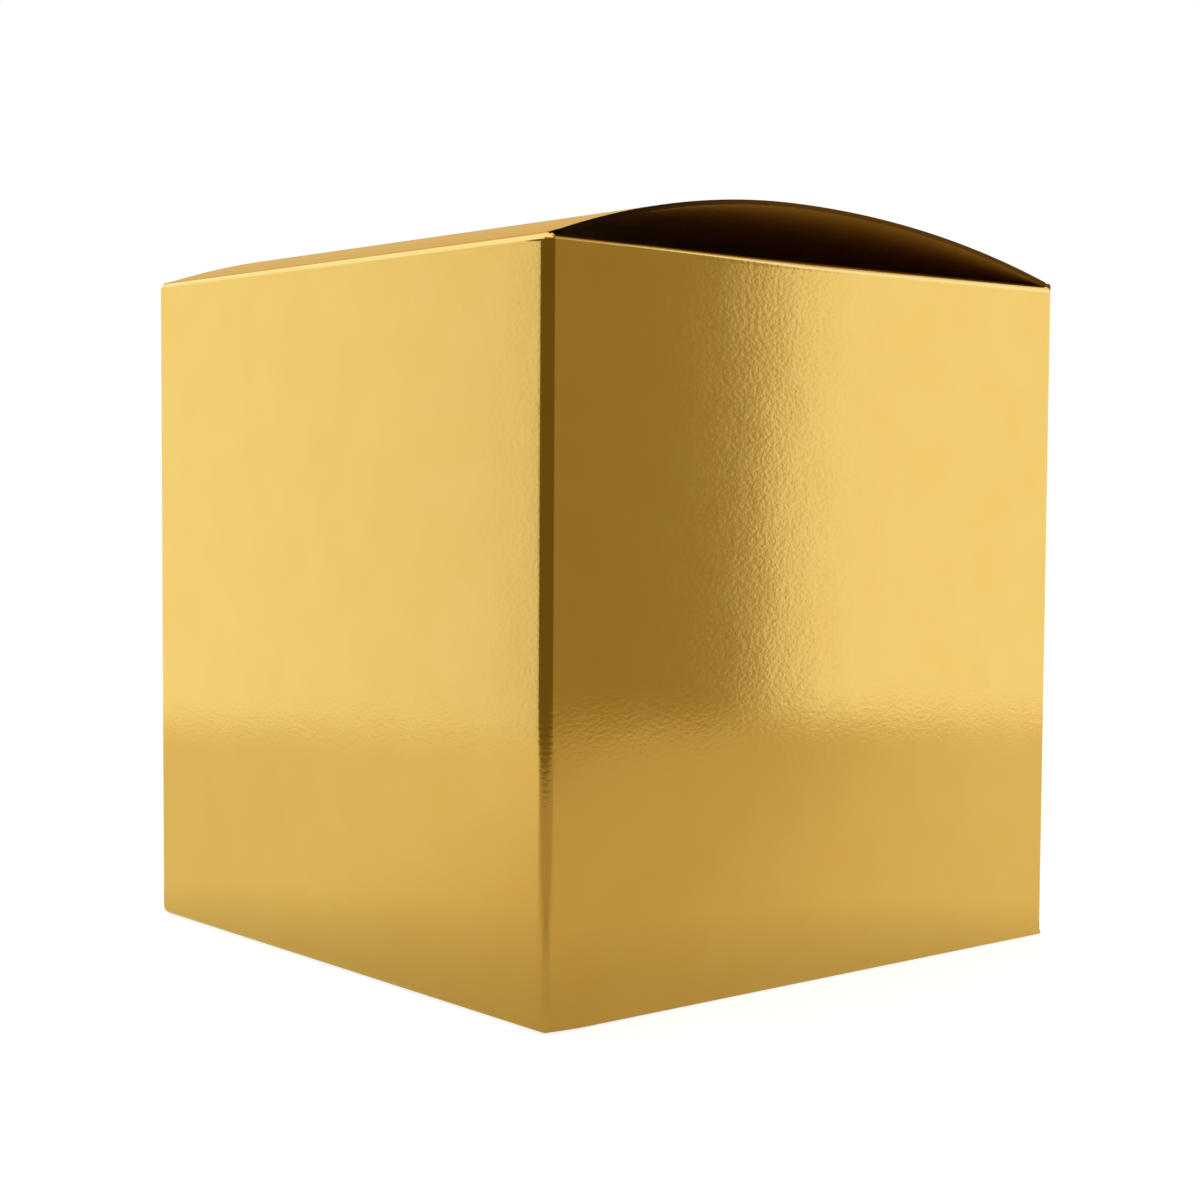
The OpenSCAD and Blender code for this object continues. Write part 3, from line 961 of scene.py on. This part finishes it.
tree.links.new(shade.outputs["Color"], board.inputs["Emission Color"])
tree.links.new(strength.outputs[0], board.inputs["Emission Strength"])
board.inputs["Base Color"].default_value = linear("#69665c")
board.inputs["Roughness"].default_value = 0.9
board.inputs["Specular IOR Level"].default_value = 0
print(len(SHADES), "tones from the far side to the near side")

# %% Floor as each ray sees it
PAPER_GLOW = 0.78
from_centre = add_node(tree, "ShaderNodeVectorMath", {0: place}, operation="LENGTH")
rim = add_node(tree, "ShaderNodeMapRange", {"Value": from_centre.outputs["Value"],
               "From Min": FLOOR_R - FLOOR_FADE, "From Max": FLOOR_R},
               interpolation_type="SMOOTHSTEP")
beyond = add_node(tree, "ShaderNodeBsdfTransparent").outputs[0]
faded = add_node(tree, "ShaderNodeMixShader", {"Fac": rim.outputs[0], 1: board.outputs[0],
                 2: beyond})
paper = add_node(tree, "ShaderNodeBsdfDiffuse", Color=linear("#b4b4b4"))
glow = add_node(tree, "ShaderNodeEmission", Strength=PAPER_GLOW)
lit_paper = add_node(tree, "ShaderNodeAddShader", {0: paper.outputs[0], 1: glow.outputs[0]})
underneath = add_node(tree, "ShaderNodeNewGeometry").outputs["Backfacing"]
one_sided = add_node(tree, "ShaderNodeMixShader", {"Fac": underneath, 1: lit_paper.outputs[0],
                     2: beyond})
to_camera = add_node(tree, "ShaderNodeLightPath").outputs["Is Camera Ray"]
either = add_node(tree, "ShaderNodeMixShader", {"Fac": to_camera, 1: faded.outputs[0],
                  2: one_sided.outputs[0]})
tree.links.new(either.outputs[0], tree.nodes["Material Output"].inputs["Surface"])
floor_mesh.materials.append(floor_material)
print("floor:", floor_material.name)

# %% [markdown]
# ## Room and light
# A mirror needs a room. This one has a wide soft light on each side of the camera, tall strip
# lights over them and a ceiling, and between the two side lights, behind the camera, a dim warm
# room. The foil's dark fold and the dark half of the right face are that room, and the soft upright
# line is the end of the right light, which leans a little. The room is painted on the sky in
# layers, because lamps can't be placed as exactly: each layer blends two tones along one measure of
# the direction, and a tone is a colour or the name of an earlier layer. The tones are strengths of
# light in linear numbers, because some are brighter than white.

# %% Measures of a direction
LEAN_FROM, LEAN_DEGREES = 0.105, 18
world = bpy.data.worlds.new("studio")
bpy.context.scene.world = world
world.use_nodes = True
sky = world.node_tree
sky.nodes.clear()
ray = add_node(sky, "ShaderNodeTexCoord").outputs["Generated"]
parts = add_node(sky, "ShaderNodeSeparateXYZ", {"Vector": ray}).outputs
bearing = add_node(sky, "ShaderNodeMath", {0: parts["Y"], 1: parts["X"]}, operation="ARCTAN2")
positive = add_node(sky, "ShaderNodeMath", {0: bearing.outputs[0], 1: 2 * math.pi, 2: 0},
                    operation="WRAP")
turned = add_node(sky, "ShaderNodeMath", {0: positive.outputs[0], 1: 180 / math.pi},
                  operation="MULTIPLY")
above = add_node(sky, "ShaderNodeMath", {0: parts["Z"], 1: LEAN_FROM}, operation="SUBTRACT")
only_above = add_node(sky, "ShaderNodeMath", {0: above.outputs[0], 1: 0}, operation="MAXIMUM")
slant = add_node(sky, "ShaderNodeMath", {0: only_above.outputs[0], 1: LEAN_DEGREES},
                 operation="MULTIPLY")
leaning = add_node(sky, "ShaderNodeMath", {0: turned.outputs[0], 1: slant.outputs[0]},
                   operation="SUBTRACT")
measures = {"turned": turned.outputs[0], "leaning": leaning.outputs[0], "lifted": parts["Z"],
            "along_x": parts["X"], "along_y": parts["Y"]}
print("measures:", ", ".join(measures))

# %% Layers of the room
WHITE_LIGHT = [1, 1, 1, 1]
STRIP_LIGHT = [1.07, 1.19, 1.6, 1]
CEILING = [1.12, 1.1, 1.02, 1]
EVEN, SOFT = "LINEAR", "SMOOTHSTEP"
DIM_A, DIM_B = [0.145, 0.106, 0.026, 1], [0.318, 0.247, 0.104, 1]
WARM_A, WARM_B = [0.9, 0.86, 0.74, 1], [0.72, 0.49, 0.2, 1]
ROOM_LAYERS = [
    ("dim_room", "turned", 200, 217.5, SOFT, DIM_A, DIM_B),
    ("left_fall", "turned", 29, 36.5, EVEN, WHITE_LIGHT, [0.89, 0.885, 0.86, 1]),
    ("left_light", "turned", 37.5, 43.5, SOFT, "left_fall", "dim_room"),
    ("right_panel", "lifted", 0.16, 0.34, SOFT, WHITE_LIGHT, STRIP_LIGHT),
    ("right_light", "leaning", 223.4, 225.7, SOFT, "left_light", "right_panel"),
    ("warm_top", "lifted", 0.06, 0.16, SOFT, WARM_A, WARM_B),
    ("far_side", "turned", 290, 312, SOFT, "right_light", "warm_top"),
    ("around", "turned", 336, 352, SOFT, "far_side", WHITE_LIGHT),
    ("right_top", "lifted", 0.55, 0.75, SOFT, "around", [0.45, 0.36, 0.18, 1]),
    ("left_top", "lifted", 0.3, 0.5, SOFT, "around", STRIP_LIGHT),
    ("ceiling", "lifted", 0.55, 0.75, SOFT, "around", CEILING),
    ("crown", "along_x", 0, 0.3, SOFT, "ceiling", "left_top"),
    ("cornered", "along_y", -0.25, -0.1, SOFT, "right_top", "crown"),
    ("whole_sky", "lifted", 0.8, 0.95, SOFT, "cornered", CEILING),
]
painted = {}
for name, measure, start, end, kind, before, after in ROOM_LAYERS:
    share = add_node(sky, "ShaderNodeMapRange", {"Value": measures[measure], "From Min": start,
                     "From Max": end}, interpolation_type=kind)
    tones = [painted[tone] if isinstance(tone, str) else tone for tone in (before, after)]
    layer = add_node(sky, "ShaderNodeMix", {"Factor": share.outputs[0], "A": tones[0],
                     "B": tones[1]}, data_type="RGBA")
    painted[name] = layer.outputs["Result"]
print(len(ROOM_LAYERS), "layers of light")

# %% Sky as the camera sees it
sky_to_camera = add_node(sky, "ShaderNodeLightPath").outputs["Is Camera Ray"]
shown = add_node(sky, "ShaderNodeMix", {"Factor": sky_to_camera, "A": painted["whole_sky"],
                 "B": WHITE_LIGHT}, data_type="RGBA")
background = add_node(sky, "ShaderNodeBackground", {"Color": shown.outputs["Result"]})
add_node(sky, "ShaderNodeOutputWorld", {"Surface": background.outputs[0]})
print("cameras see plain white behind the box")
